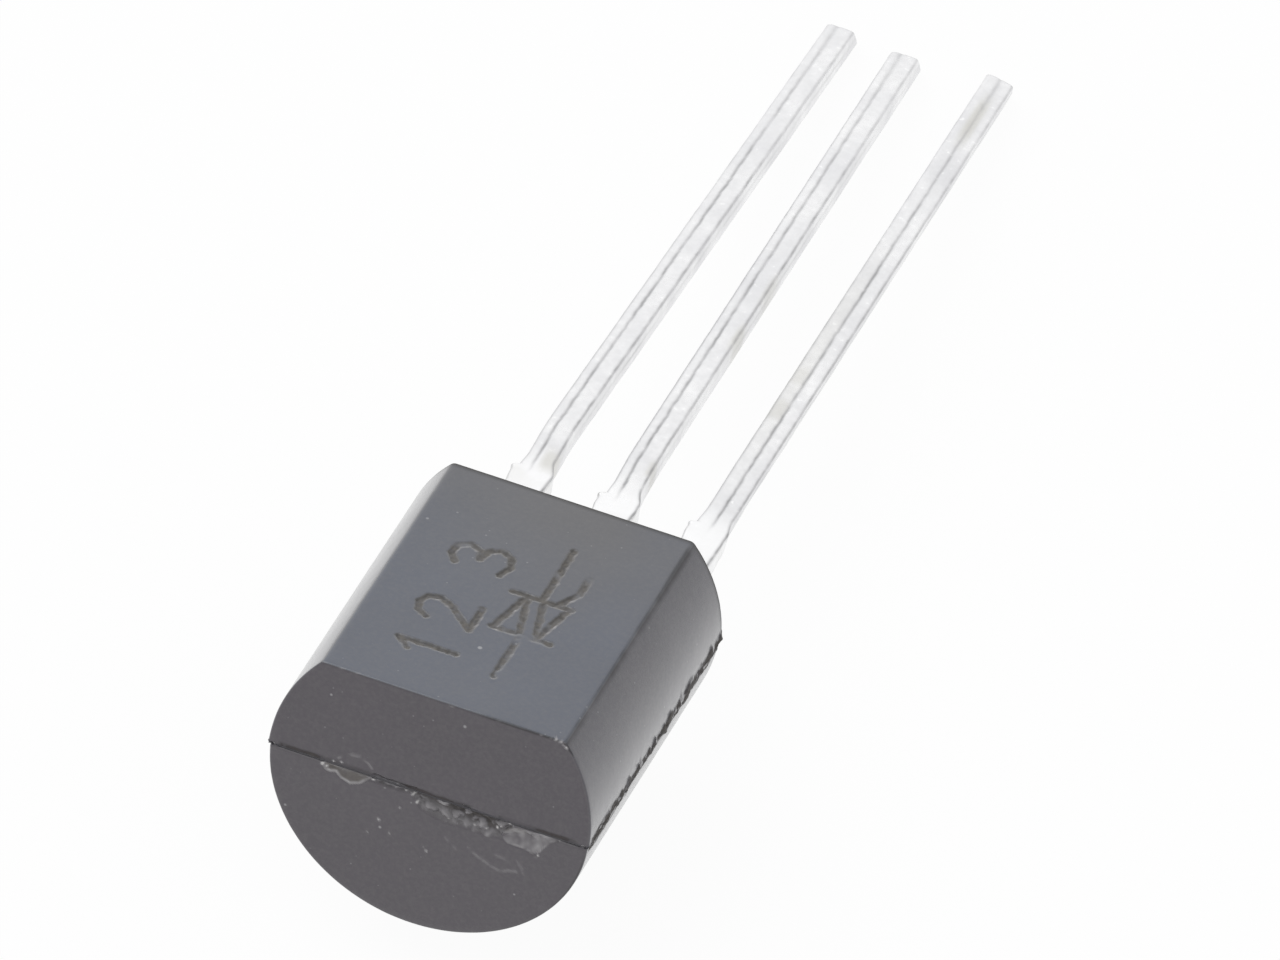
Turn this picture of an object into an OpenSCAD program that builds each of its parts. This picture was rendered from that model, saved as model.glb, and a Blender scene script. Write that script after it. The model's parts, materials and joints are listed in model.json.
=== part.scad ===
// Triac in a three-lead moulded package: a D-shaped body with a row of three flat leads.
// The device lies at rest: on the back of its body and on the tips of its outer leads.
// +Y runs towards the lead tips, +Z is up, and the origin is on the surface that the
// device lies on, under the middle of its length and width.
// The sub-parts are drawn in the package frame first. There x is across the leads, +y runs
// along them out of the body, +z is the flat's outward normal, z = 0 is the parting plane of
// the moulding and the mid-plane of the leads, and y = 0 is the lead-side edge of the flat.

/* [Body] */
// Radius of the body's round back and side walls
body_r = 2.21; // [2.1:0.01:2.4]
// Height of the flat above the parting plane
flat_h = 1.45; // [1.3:0.01:1.6]
// Length of the body, along the parting plane
body_l = 4.9; // [4.7:0.05:5.3]
// Draft of the end faces in front of the parting plane, in degrees
front_draft = 3.6; // [1:0.1:5]
// Draft of the end faces behind the parting plane, in degrees
back_draft = 1; // [0.5:0.1:5]
// Rounding along the two long edges of the flat
flat_edge_r = 0.1; // [0.05:0.01:0.2]

/* [Mould marks] */
// How far the back half of the moulding is set in from the front half
mould_step = 0.02; // [0.01:0.005:0.04]
// How far the flash stands out along the parting plane
flash_w = 0.02; // [0.01:0.005:0.06]
// Thickness of the flash
flash_t = 0.03; // [0.02:0.005:0.06]
// Width of the scar that the broken gate leaves on the end face
gate_w = 1.3; // [0.8:0.05:1.8]
// Height of the gate scar
gate_h = 0.34; // [0.15:0.01:0.4]
// Depth of the gate scar
gate_d = 0.05; // [0.02:0.01:0.1]
// Middle of the gate scar, across the body
gate_x = 0.55; // [-0.8:0.05:0.8]
// Width of the shallow spall beside the gate scar
spall_w = 0.72; // [0.3:0.02:0.9]
// Depth of the spall
spall_d = 0.05; // [0.02:0.01:0.08]
// Middle of the spall, across the body
spall_x = 1.42; // [-1.6:0.02:1.6]
// Middle of the spall, below the parting plane
spall_drop = 0.24; // [0.05:0.01:0.4]
// Width of the chip near the other end of the parting line
chip_w = 0.66; // [0.2:0.02:0.9]
// Depth of the chip
chip_d = 0.05; // [0.02:0.01:0.08]
// Middle of the chip, across the body
chip_x = -1.12; // [-1.6:0.02:1.6]

/* [Leads] */
// Spacing of the leads
lead_pitch = 1.27; // [1.2:0.01:1.35]
// Thickness of the lead frame
lead_t = 0.38; // [0.34:0.01:0.44]
// Width of each lead beyond its shoulder
lead_w = 0.4; // [0.34:0.01:0.46]
// Chamfer along the edges of each lead
lead_edge = 0.05; // [0.02:0.01:0.1]
// Width of each lead where it leaves the body
stub_w = 0.52; // [0.48:0.01:0.56]
// Width over the sheared remains of the bar that joined the leads
tie_w = 0.57; // [0.54:0.01:0.66]
// Length of those remains
tie_l = 0.5; // [0.3:0.05:0.8]
// From the body's flat edge to the start of the shoulder
stub_l = 1.93; // [1.2:0.01:2.4]
// Length of the shoulder
shoulder_l = 0.2; // [0.1:0.01:0.4]
// Length of the two outer leads along their underside, from the flat's edge
outer_lead_l = 13.19; // [12:0.01:14.5]
// How much shorter the centre lead is cut
centre_cut = 0.14; // [0:0.02:0.4]
// How much shorter the slanted cut at each tip leaves the top of a lead than its underside
tip_slant = 0.27; // [0.1:0.01:0.4]
// How far the lead frame sits off the middle of the moulding, across the body
frame_shift = 0.035; // [0:0.005:0.06]
// Lean of the first lead across the row, towards the centre lead, in degrees
first_lead_lean = 1.5; // [0:0.05:2]
// Lean of the centre lead across the row, the same way, in degrees
centre_lead_lean = 0.15; // [0:0.05:1]
// Lean of the third lead across the row, the same way, in degrees
third_lead_lean = 0.2; // [0:0.05:1]
// Twist of the third lead about its length, in degrees
third_lead_twist = 12; // [0:1:15]

/* [Lead frame inside the body] */
// Width of the two bond posts
post_w = 0.8; // [0.6:0.05:0.9]
// Length of the two bond posts
post_l = 0.55; // [0.45:0.05:0.7]
// Length of each neck between the flat's edge and its bond post
neck_l = 0.7; // [0.5:0.05:0.8]
// Gap between the bond posts and the die paddle
post_gap = 0.35; // [0.25:0.05:0.45]
// Width of the die paddle
paddle_w = 2.6; // [2.2:0.05:2.8]
// Length of the die paddle
paddle_l = 2.2; // [1.8:0.05:2.4]
// Radius of the notches that lock the necks into the moulding
lock_r = 0.1; // [0.06:0.01:0.13]
// Radius of the notches that lock the far edge of the paddle into the moulding
paddle_lock_r = 0.2; // [0.1:0.01:0.25]

/* [Die and bond wires] */
// Side of the square die
die_w = 1.4; // [1.2:0.05:1.6]
// Thickness of the die
die_t = 0.25; // [0.2:0.01:0.3]
// Width of the passivated moat around both faces of the die
moat_w = 0.12; // [0.06:0.01:0.16]
// Depth of the moat
moat_d = 0.05; // [0.03:0.01:0.08]
// Thickness of the solder under the die
solder_t = 0.04; // [0.03:0.005:0.08]
// How far the solder spreads past the die's lower contact
solder_spread = 0.06; // [0.02:0.01:0.1]
// Diameter of the bond wires
wire_d = 0.12; // [0.08:0.01:0.15]
// Angle between each wire and its chord where it leaves the bond, in degrees
loop_angle = 60; // [45:1:65]
// Height of a pressed bond, as a part of the wire's diameter
bond_press = 0.75; // [0.7:0.01:0.9]
// Radius of a pressed bond beyond the wire's own
bond_spread = 0.05; // [0.02:0.01:0.08]
// Gap between the bonds of the two main wires
bond_gap = 0.05; // [0.03:0.01:0.08]
// Margin between a bond on the die and the edge of the die's contact
pad_margin = 0.08; // [0.03:0.01:0.12]
// Gate pad from the middle of the die, across the body
gate_pad_x = 0.1; // [-0.2:0.02:0.16]
// Main pad from the middle of the die, away from the leads
main_pad_y = 0.14; // [0.1:0.02:0.2]

/* [Hidden] */
$fn = 64;

// Parting line on the lead side and on the end face, along y
parting_lead_y = flat_h * tan(front_draft);
parting_end_y = parting_lead_y - body_l;
// Radius of the back half, inside its step
back_r = body_r - mould_step;

// Where the bond posts end and the paddle begins and ends, along y
post_y = -neck_l - post_l;
paddle_y = post_y - post_gap;
paddle_end_y = paddle_y - paddle_l;
// Edges of the paddle, across the body: its left edge runs on from the first lead's neck
paddle_left_x = -lead_pitch - stub_w / 2;
paddle_right_x = paddle_left_x + paddle_w;

// Centre of the die, and the heights of its stack
die_at = [(paddle_left_x + paddle_right_x) / 2, (paddle_y + paddle_end_y) / 2];
frame_top = lead_t / 2;
die_bottom = frame_top + solder_t;
die_top = die_bottom + die_t;
contact_w = die_w - 2 * moat_w;

// Pressed bonds, and the spacing of the two main wires
bond_t = wire_d * bond_press;
bond_r = wire_d / 2 + bond_spread;
wire_pitch = 2 * bond_r + bond_gap;
// Ends of the bond wires, seen from above. The gate pad lies along the die's lead-side edge,
// and the main pad along its edge under the other bond post.
pad_reach = contact_w / 2 - pad_margin - bond_r;
gate_post_at = [0, post_y + post_l / 2];
main_post_at = [lead_pitch, post_y + post_l / 2];
gate_pad_at = die_at + [gate_pad_x, pad_reach];
main_pad_at = die_at + [pad_reach - wire_pitch / 2, -main_pad_y];

// Lowest edge of the twisted lead, below the mid-plane of the leads
twist_in = (lead_w / 2 - lead_edge) * sin(third_lead_twist);
tip_drop = lead_t / 2 * cos(third_lead_twist) + twist_in;
// The device leans on the lead-side bottom edge of its body and on its lead tips
heel_y = parting_lead_y - mould_step - back_r * tan(back_draft);
toe_y = parting_end_y + mould_step + back_r * tan(back_draft);
rest_tilt = atan2(back_r - tip_drop, outer_lead_l - heel_y);
rest_h = heel_y * sin(rest_tilt) + back_r * cos(rest_tilt);
rest_end_y = toe_y * cos(rest_tilt) - back_r * sin(rest_tilt);
rest_tip_y = outer_lead_l * cos(rest_tilt) - lead_t / 2 * sin(rest_tilt);

// A length beyond any part of the package, for cutting tools
past = 30;

// Takes a sub-part from the package frame to the device's place at rest
module at_rest() {
    translate([0, -(rest_end_y + rest_tip_y) / 2, rest_h])
        rotate([-rest_tilt, 0, 0])
            children();
}

// Takes a sub-part of the lead frame to its place in the moulding
module in_frame() {
    translate([frame_shift, 0, 0])
        children();
}

// ---- moulded body

// Section of the front half: a round wall on each side, and the flat with rounded edges
module front_section() {
    edge_y = flat_h - flat_edge_r;
    edge_x = sqrt(pow(body_r - flat_edge_r, 2) - pow(edge_y, 2));
    touch = [edge_x, edge_y] * body_r / (body_r - flat_edge_r);
    intersection() {
        circle(r = body_r);
        translate([-edge_x, 0])
            square([2 * edge_x, flat_h]);
    }
    for (side = [0, 1])
        mirror([side, 0]) {
            intersection() {
                circle(r = body_r);
                polygon([[0, 0], [past, 0], touch * past, touch, [edge_x, edge_y]]);
            }
            translate([edge_x, edge_y])
                circle(r = flat_edge_r);
        }
}

// Section of the back half
module back_section() {
    intersection() {
        circle(r = back_r);
        translate([-past / 2, -past])
            square([past, past]);
    }
}

// A section drawn across the package, carried along y past both end faces
module along_package() {
    rotate([90, 0, 0])
        linear_extrude(2 * past, center = true)
            children();
}

// A profile drawn in the yz plane, carried across the package
module across_package() {
    rotate([90, 0, 90])
        linear_extrude(2 * past, center = true)
            children();
}

// Side profile of one half: its two end faces lean in by the draft
module drafted_profile(height, draft, inset) {
    lean = abs(height) * tan(draft);
    lead_side = parting_lead_y - inset;
    end_side = parting_end_y + inset;
    polygon([[lead_side, 0], [lead_side - lean, height], [end_side + lean, height], [end_side, 0]]);
}

module front_half() {
    intersection() {
        along_package() front_section();
        across_package() drafted_profile(flat_h, front_draft, 0);
    }
}

module back_half() {
    intersection() {
        along_package() back_section();
        across_package() drafted_profile(-body_r, back_draft, mould_step);
    }
}

// Thin fin that the two mould halves leave between them
module flash() {
    translate([-body_r - flash_w, parting_end_y - flash_w, -flash_t])
        cube([2 * (body_r + flash_w), body_l + 2 * flash_w, flash_t]);
}

// Shallow scoop in the end face, of a given width and depth
module scoop(x, drop, width, depth) {
    scoop_r = (width * width / 4 + depth * depth) / (2 * depth);
    translate([x, parting_end_y + mould_step - scoop_r + depth, -drop])
        sphere(r = scoop_r);
}

// What the broken gate and rough handling take from the end face, behind the parting line
module end_face_marks() {
    floor_y = parting_end_y + mould_step + gate_d;
    translate([gate_x - gate_w / 2, floor_y - past, -flash_t - gate_h])
        cube([gate_w, past, gate_h]);
    intersection() {
        union() {
            scoop(spall_x, spall_drop, spall_w, spall_d);
            scoop(chip_x, 0, chip_w, chip_d);
        }
        translate([-past / 2, -past, -past - flash_t])
            cube([past, past, past]);
    }
}

module body_shape() {
    difference() {
        union() {
            front_half();
            back_half();
            flash();
        }
        end_face_marks();
    }
}

// ---- leads

// Stub beside the body: its width steps out to the sheared remains of the tie bar,
// then a shoulder takes it down to the width of the lead
module stub_outline() {
    tie_y = stub_l - tie_l;
    polygon([
        [-stub_w / 2, 0],
        [-stub_w / 2, tie_y],
        [-tie_w / 2, tie_y],
        [-tie_w / 2, stub_l],
        [-lead_w / 2, stub_l + shoulder_l],
        [lead_w / 2, stub_l + shoulder_l],
        [tie_w / 2, stub_l],
        [tie_w / 2, tie_y],
        [stub_w / 2, tie_y],
        [stub_w / 2, 0]
    ]);
}

// Section of the lead: a flat bar with its edges broken
module lead_section() {
    x = lead_w / 2;
    z = lead_t / 2;
    polygon([
        [-x, lead_edge - z],
        [lead_edge - x, -z],
        [x - lead_edge, -z],
        [x, lead_edge - z],
        [x, z - lead_edge],
        [x - lead_edge, z],
        [lead_edge - x, z],
        [-x, z - lead_edge]
    ]);
}

// A straight bar with a lead's section, from its tip at z = 0. The cut at the tip slants,
// so that the bar's side towards -y reaches further than its side towards +y.
module cut_bar(bar_l) {
    difference() {
        linear_extrude(bar_l)
            lead_section();
        translate([0, -lead_t / 2, 0])
            rotate([atan2(tip_slant, lead_t), 0, 0])
                translate([-past / 2, -past / 2, -past])
                    cube(past);
    }
}

// The part of a lead outside the body, from the flat's edge to its cut tip
module outer_lead(lead_l, lean, twist) {
    rotate([0, 0, -lean]) {
        linear_extrude(lead_t, center = true)
            stub_outline();
        translate([0, lead_l, 0])
            rotate([0, twist, 0])
                rotate([90, 0, 0])
                    cut_bar(lead_l - stub_l);
    }
}

// Half-round notches on both sides of a neck, where the moulding locks on
module neck_locks() {
    for (side = [-1, 1])
        translate([side * stub_w / 2, -neck_l / 2])
            circle(r = lock_r);
}

// Neck and bond post of the gate lead and of the first main terminal's lead
module post_outline() {
    difference() {
        union() {
            translate([-stub_w / 2, -neck_l])
                square([stub_w, neck_l]);
            translate([-post_w / 2, post_y])
                square([post_w, post_l]);
        }
        neck_locks();
    }
}

// Neck of the second main terminal's lead, and the paddle that carries the die
module paddle_outline() {
    difference() {
        union() {
            translate([-lead_pitch - stub_w / 2, paddle_y])
                square([stub_w, -paddle_y]);
            translate([paddle_left_x, paddle_end_y])
                square([paddle_w, paddle_l]);
        }
        translate([-lead_pitch, 0])
            neck_locks();
        for (corner = [paddle_left_x, paddle_right_x])
            translate([corner, paddle_end_y])
                circle(r = paddle_lock_r);
        translate([die_at[0], paddle_end_y])
            circle(r = paddle_lock_r);
    }
}

module post_lead(x, lead_l, lean, twist) {
    translate([x, 0, 0]) {
        linear_extrude(lead_t, center = true)
            post_outline();
        outer_lead(lead_l, lean, twist);
    }
}

module main_terminal_2_shape() {
    linear_extrude(lead_t, center = true)
        paddle_outline();
    translate([-lead_pitch, 0, 0])
        outer_lead(outer_lead_l, first_lead_lean, 0);
}

module gate_lead_shape() {
    post_lead(0, outer_lead_l - centre_cut, centre_lead_lean, 0);
}

module main_terminal_1_shape() {
    post_lead(lead_pitch, outer_lead_l, third_lead_lean, third_lead_twist);
}

// ---- die and bond wires

// Square slab on the die's centre, from one height to another
module die_slab(width, bottom, top) {
    translate([die_at[0] - width / 2, die_at[1] - width / 2, bottom])
        cube([width, width, top - bottom]);
}

module solder_shape() {
    die_slab(contact_w + 2 * solder_spread, frame_top, die_bottom);
}

// The moat steps both faces of the die in to their contacts
module die_shape() {
    die_slab(die_w, die_bottom + moat_d, die_top - moat_d);
    die_slab(contact_w, die_bottom, die_top);
}

// Pressed end of a bond wire
module bond(at, height) {
    translate([at[0], at[1], height])
        cylinder(r = bond_r, h = bond_t);
}

// Bond wire from a pad on the die to a bond post: a round arc between two pressed ends
module wire_shape(pad, post) {
    run = post - pad;
    drop = die_top - frame_top;
    chord = norm([run[0], run[1], drop]);
    loop_r = chord / (2 * sin(loop_angle));
    bond(pad, die_top);
    bond(post, frame_top);
    translate([pad[0], pad[1], die_top + bond_t / 2])
        rotate([90, 0, atan2(run[1], run[0])])
            rotate([0, 0, -asin(drop / chord)])
                translate([chord / 2, -loop_r * cos(loop_angle), 0])
                    rotate([0, 0, 90 - loop_angle])
                        rotate_extrude(angle = 2 * loop_angle)
                            translate([loop_r, 0])
                                circle(d = wire_d);
}

module gate_wire_shape() {
    wire_shape(gate_pad_at, gate_post_at);
}

// The two main wires run side by side, one on each side of the line between pad and post
module main_wire_shape(side) {
    run = main_post_at - main_pad_at;
    offset_by = side * wire_pitch / 2 * [-run[1], run[0]] / norm(run);
    wire_shape(main_pad_at + offset_by, main_post_at + offset_by);
}

// ---- sub-parts in place

module moulded_body() {
    color([0.3, 0.3, 0.32])
        at_rest()
            difference() {
                body_shape();
                in_frame() {
                    main_terminal_2_shape();
                    gate_lead_shape();
                    main_terminal_1_shape();
                    solder_shape();
                    die_shape();
                    gate_wire_shape();
                    main_wire_shape(-1);
                    main_wire_shape(1);
                }
            }
}

module main_terminal_2_lead() {
    color("gainsboro") at_rest() in_frame() main_terminal_2_shape();
}

module gate_lead() {
    color("gainsboro") at_rest() in_frame() gate_lead_shape();
}

module main_terminal_1_lead() {
    color("gainsboro") at_rest() in_frame() main_terminal_1_shape();
}

module die_attach_solder() {
    color("silver") at_rest() in_frame() solder_shape();
}

module triac_die() {
    color("slategray") at_rest() in_frame() die_shape();
}

module gate_bond_wire() {
    color("lightgray") at_rest() in_frame() gate_wire_shape();
}

module main_bond_wire_1() {
    color("lightgray") at_rest() in_frame() main_wire_shape(-1);
}

module main_bond_wire_2() {
    color("lightgray") at_rest() in_frame() main_wire_shape(1);
}

moulded_body();
main_terminal_2_lead();
gate_lead();
main_terminal_1_lead();
die_attach_solder();
triac_die();
gate_bond_wire();
main_bond_wire_1();
main_bond_wire_2();
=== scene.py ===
import json
import math

import bmesh
import bpy
from mathutils import Matrix, Vector, noise

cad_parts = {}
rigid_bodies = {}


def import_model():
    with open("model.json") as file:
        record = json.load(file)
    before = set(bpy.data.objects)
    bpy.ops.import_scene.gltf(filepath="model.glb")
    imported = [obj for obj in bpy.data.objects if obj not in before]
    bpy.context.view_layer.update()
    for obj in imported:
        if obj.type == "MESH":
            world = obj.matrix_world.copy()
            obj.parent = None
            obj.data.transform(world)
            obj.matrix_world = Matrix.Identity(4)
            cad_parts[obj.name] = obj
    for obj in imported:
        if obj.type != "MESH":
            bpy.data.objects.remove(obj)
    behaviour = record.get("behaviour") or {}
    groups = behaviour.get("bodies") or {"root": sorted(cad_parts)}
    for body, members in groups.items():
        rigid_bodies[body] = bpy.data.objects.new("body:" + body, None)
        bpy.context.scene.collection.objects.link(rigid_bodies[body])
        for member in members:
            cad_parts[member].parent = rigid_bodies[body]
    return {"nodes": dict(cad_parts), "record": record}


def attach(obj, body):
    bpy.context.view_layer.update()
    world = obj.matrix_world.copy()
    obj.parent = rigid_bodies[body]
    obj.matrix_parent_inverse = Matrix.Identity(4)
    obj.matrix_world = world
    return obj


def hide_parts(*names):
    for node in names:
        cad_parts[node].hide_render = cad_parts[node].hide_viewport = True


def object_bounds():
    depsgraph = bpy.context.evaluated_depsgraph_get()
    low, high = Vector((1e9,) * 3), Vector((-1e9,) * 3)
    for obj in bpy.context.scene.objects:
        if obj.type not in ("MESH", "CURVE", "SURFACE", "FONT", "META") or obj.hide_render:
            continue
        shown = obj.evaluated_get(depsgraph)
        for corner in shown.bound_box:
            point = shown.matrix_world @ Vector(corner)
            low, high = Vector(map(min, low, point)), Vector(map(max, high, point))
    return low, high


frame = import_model()
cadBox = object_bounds()
nodes = frame["nodes"]
print("frame loaded:", ", ".join(sorted(nodes)))

# where the package lies: its axes and its origin come from the two mounts
mounts = {m["name"]: m for m in frame["record"]["mounts"]}
leadAxis = Vector(mounts["lead_row"]["axis"]).normalized()
flatAxis = Vector(mounts["flat_front"]["axis"]).normalized()
leadReach = 13.19  # from the flat's edge to the outer lead tips, where the lead_row mount is
packageOrigin = Vector(mounts["lead_row"]["pos_m"]) - leadAxis * leadReach * 0.001
packageOrigin.x = mounts["flat_front"]["pos_m"][0]

toRest = Matrix.Identity(4)
for row in range(3):
    acrossLeads = 0.001 if row == 0 else 0
    toRest[row] = acrossLeads, leadAxis[row] * 0.001, flatAxis[row] * 0.001, packageOrigin[row]
toPackage = toRest.inverted()


def clip(value, low=0.0, high=1.0):
    return max(low, min(high, value))


def smooth(low, high, value):
    # 0 at low and before it, 1 at high and beyond it, eased between them; low may be the larger
    t = clip((value - low) / (high - low))
    return t * t * (3 - 2 * t)


def between(start, full, fading, gone, value):
    # 1 from full to fading, eased to 0 at start and at gone
    return smooth(start, full, value) * smooth(gone, fading, value)


def ripple(p, scale, seed=0.0):
    # signed noise of about one unit at a point, with features 1/scale mm across
    return noise.noise(Vector((p[0] * scale + seed, p[1] * scale - seed, p[2] * scale + 0.37 * seed)))


def distanceTo(x, y, line):
    # from a point to a line of straight stretches
    nearest = 9.0
    for (ax, ay), (bx, by) in zip(line, line[1:]):
        dx, dy = bx - ax, by - ay
        t = clip(((x - ax) * dx + (y - ay) * dy) / (dx * dx + dy * dy))
        nearest = min(nearest, math.hypot(x - ax - t * dx, y - ay - t * dy))
    return nearest


def depthInside(x, y, outline):
    # distance to a closed outline, positive inside it
    inside = False
    for (ax, ay), (bx, by) in zip(outline, outline[1:] + outline[:1]):
        if (ay > y) != (by > y) and x < ax + (bx - ax) * (y - ay) / (by - ay):
            inside = not inside
    away = distanceTo(x, y, outline + outline[:1])
    return away if inside else -away


def newObject(name, data):
    thing = bpy.data.objects.new(name, data)
    bpy.context.scene.collection.objects.link(thing)
    return thing


def newPiece(name, bm, replaced, wearAndPaintedLight):
    # a mesh drawn in the package frame becomes a piece at rest on the floor
    mesh = bpy.data.meshes.new(name)
    bm.to_mesh(mesh)
    bm.free()
    layer = mesh.color_attributes.new("wearAndPaintedLight", "FLOAT_COLOR", "POINT")
    layer.data.foreach_set("color", [channel for values in wearAndPaintedLight for channel in values])
    mesh.transform(toRest)
    mesh.shade_smooth()
    mesh.update()
    piece = newObject(name, mesh)
    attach(piece, "root")
    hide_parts(replaced)
    return piece


def setInputs(tree, node, inputs):
    # an input is linked where it comes from another node, and set where it is a plain value
    for key, value in inputs.items():
        if isinstance(value, bpy.types.NodeSocket):
            tree.links.new(value, node.inputs[key])
        else:
            node.inputs[key].default_value = value


def addNode(tree, kind, inputs=None, **settings):
    node = tree.nodes.new(kind)
    for key, value in settings.items():
        setattr(node, key, value)
    setInputs(tree, node, inputs or {})
    return node


def calc(tree, operation, a, b=0.5, clamp=False):
    return addNode(tree, "ShaderNodeMath", {0: a, 1: b}, operation=operation, use_clamp=clamp).outputs[0]


def ramp(tree, value, low, high, toLow=0.0, toHigh=1.0):
    ends = {"From Min": low, "From Max": high, "To Min": toLow, "To Max": toHigh}
    return addNode(tree, "ShaderNodeMapRange", {"Value": value, **ends}).outputs["Result"]


def blendColour(tree, mask, a, b):
    # a where the mask is 0 and b where it is 1; each is a socket, or red, green and blue
    a, b = ((*colour, 1) if isinstance(colour, tuple) else colour for colour in (a, b))
    return addNode(tree, "ShaderNodeMix", {0: mask, 6: a, 7: b}, data_type="RGBA").outputs[2]


def cover(tree, colour, mask, amount, paint):
    # paints over a colour where the mask is 1, as strongly as the amount says
    return blendColour(tree, calc(tree, "MULTIPLY", mask, amount), colour, paint)


def noiseField(tree, place, scale, detail, roughness=0.5):
    inputs = {"Vector": place, "Scale": scale, "Detail": detail, "Roughness": roughness}
    return addNode(tree, "ShaderNodeTexNoise", inputs).outputs[0]


def newGroup(name, inputs, outputs):
    # inputs are names with their defaults, where None stands for a place in space
    group = bpy.data.node_groups.new(name, "ShaderNodeTree")
    for label, value in inputs.items():
        kind = "NodeSocketVector" if value is None else "NodeSocketFloat"
        socket = group.interface.new_socket(label, in_out="INPUT", socket_type=kind)
        if value is not None:
            socket.default_value = value
    for label in outputs:
        group.interface.new_socket(label, in_out="OUTPUT", socket_type="NodeSocketFloat")
    start = group.nodes.new("NodeGroupInput")
    end = group.nodes.new("NodeGroupOutput")
    return group, start.outputs, end.inputs


def useGroup(tree, group, inputs):
    return addNode(tree, "ShaderNodeGroup", inputs, node_tree=group).outputs


def newMaterial(name):
    material = bpy.data.materials.new(name)
    material.use_nodes = True
    tree = material.node_tree
    tree.nodes.clear()
    shader = addNode(tree, "ShaderNodeBsdfPrincipled")
    addNode(tree, "ShaderNodeOutputMaterial", {"Surface": shader.outputs[0]})
    place = addNode(tree, "ShaderNodeTexCoord").outputs["Object"]
    return material, tree, shader, place


def readWearAndPaintedLight(tree):
    # the four channels of wear and painted light that each piece's mesh carries
    attribute = addNode(tree, "ShaderNodeAttribute", attribute_name="wearAndPaintedLight").outputs
    channels = addNode(tree, "ShaderNodeSeparateColor", {"Color": attribute["Color"]}).outputs
    return channels[0], channels[1], channels[2], attribute["Alpha"]


def bumped(tree, height, strength, distance):
    inputs = {"Strength": strength, "Distance": distance, "Height": height}
    return addNode(tree, "ShaderNodeBump", inputs).outputs[0]


# skin: fine uneven surface of a moulded or plated part, as a height and a slow tone
skinInputs = {"Place": None, "Fine": 12000.0, "Slow": 600.0}
skinGroup, given, gives = newGroup("unevenSkin", skinInputs, ["Height", "Tone"])
slow = noiseField(skinGroup, given["Place"], given["Slow"], 4.0, 0.55)
skinGroup.links.new(noiseField(skinGroup, given["Place"], given["Fine"], 3.0, 0.6), gives["Height"])
skinGroup.links.new(ramp(skinGroup, slow, 0.3, 0.7), gives["Tone"])

# specks: scattered pale grains of dust and filler
speckInputs = {"Place": None, "Spacing": 2600.0, "Share": 0.25, "Size": 0.09}
speckGroup, given, gives = newGroup("dustSpecks", speckInputs, ["Mask"])
spread = {"Vector": given["Place"], "Scale": given["Spacing"]}
cells = addNode(speckGroup, "ShaderNodeTexVoronoi", spread).outputs
pick = addNode(speckGroup, "ShaderNodeSeparateColor", {"Color": cells["Color"]}).outputs
chosen = calc(speckGroup, "LESS_THAN", pick[0], given["Share"])
grainSize = calc(speckGroup, "MULTIPLY", pick[1], given["Size"])
dot = ramp(speckGroup, calc(speckGroup, "SUBTRACT", grainSize, cells["Distance"]), 0.0, 0.06)
speckGroup.links.new(calc(speckGroup, "MULTIPLY", dot, chosen), gives["Mask"])

# scratches: short fine lines that run one way, broken up by a slow noise
scratchGroup, given, gives = newGroup("fineScratches", {"Place": None, "Across": 30.0, "Cut": 0.66}, ["Mask"])
stretch = noiseField(scratchGroup, given["Place"], given["Across"], 2.0)
line = ramp(scratchGroup, calc(scratchGroup, "SUBTRACT", stretch, given["Cut"]), 0.0, 0.05)
patch = ramp(scratchGroup, noiseField(scratchGroup, given["Place"], 3.0, 1.0), 0.45, 0.6)
scratchGroup.links.new(calc(scratchGroup, "MULTIPLY", line, patch), gives["Mask"])

body = {
    "radius": 2.21,
    "flatHeight": 1.45,
    "length": 4.9,
    "frontDraft": 3.6,
    "backDraft": 1.0,
    "flatEdge": 0.1,       # rounding along the flat's long edges
    "step": 0.02,          # back half set in from the front half
    "flashOut": 0.02,
    "flashThick": 0.03,
    "capEdge": 0.035,      # rounding round the end face
    "leadEdge": 0.055,     # and round the face the leads leave
    "columns": 60,
    "turns": 66,           # rings between the two end faces
    "corner": 50.0,        # where the mesh turns from side to back, degrees below the parting line
    "straight": 28.0,      # down to here its rows run straight across the end faces
}
frontLean = math.tan(math.radians(body["frontDraft"]))
backLean = math.tan(math.radians(body["backDraft"]))
leadFaceY = body["flatHeight"] * frontLean
endFaceY = leadFaceY - body["length"]
backRadius = body["radius"] - body["step"]


def onArc(radius, angle, inFront, proud=0.0):
    across, up = math.cos(angle), math.sin(angle)
    return radius * across, radius * up, across, up, inFront, proud


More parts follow.
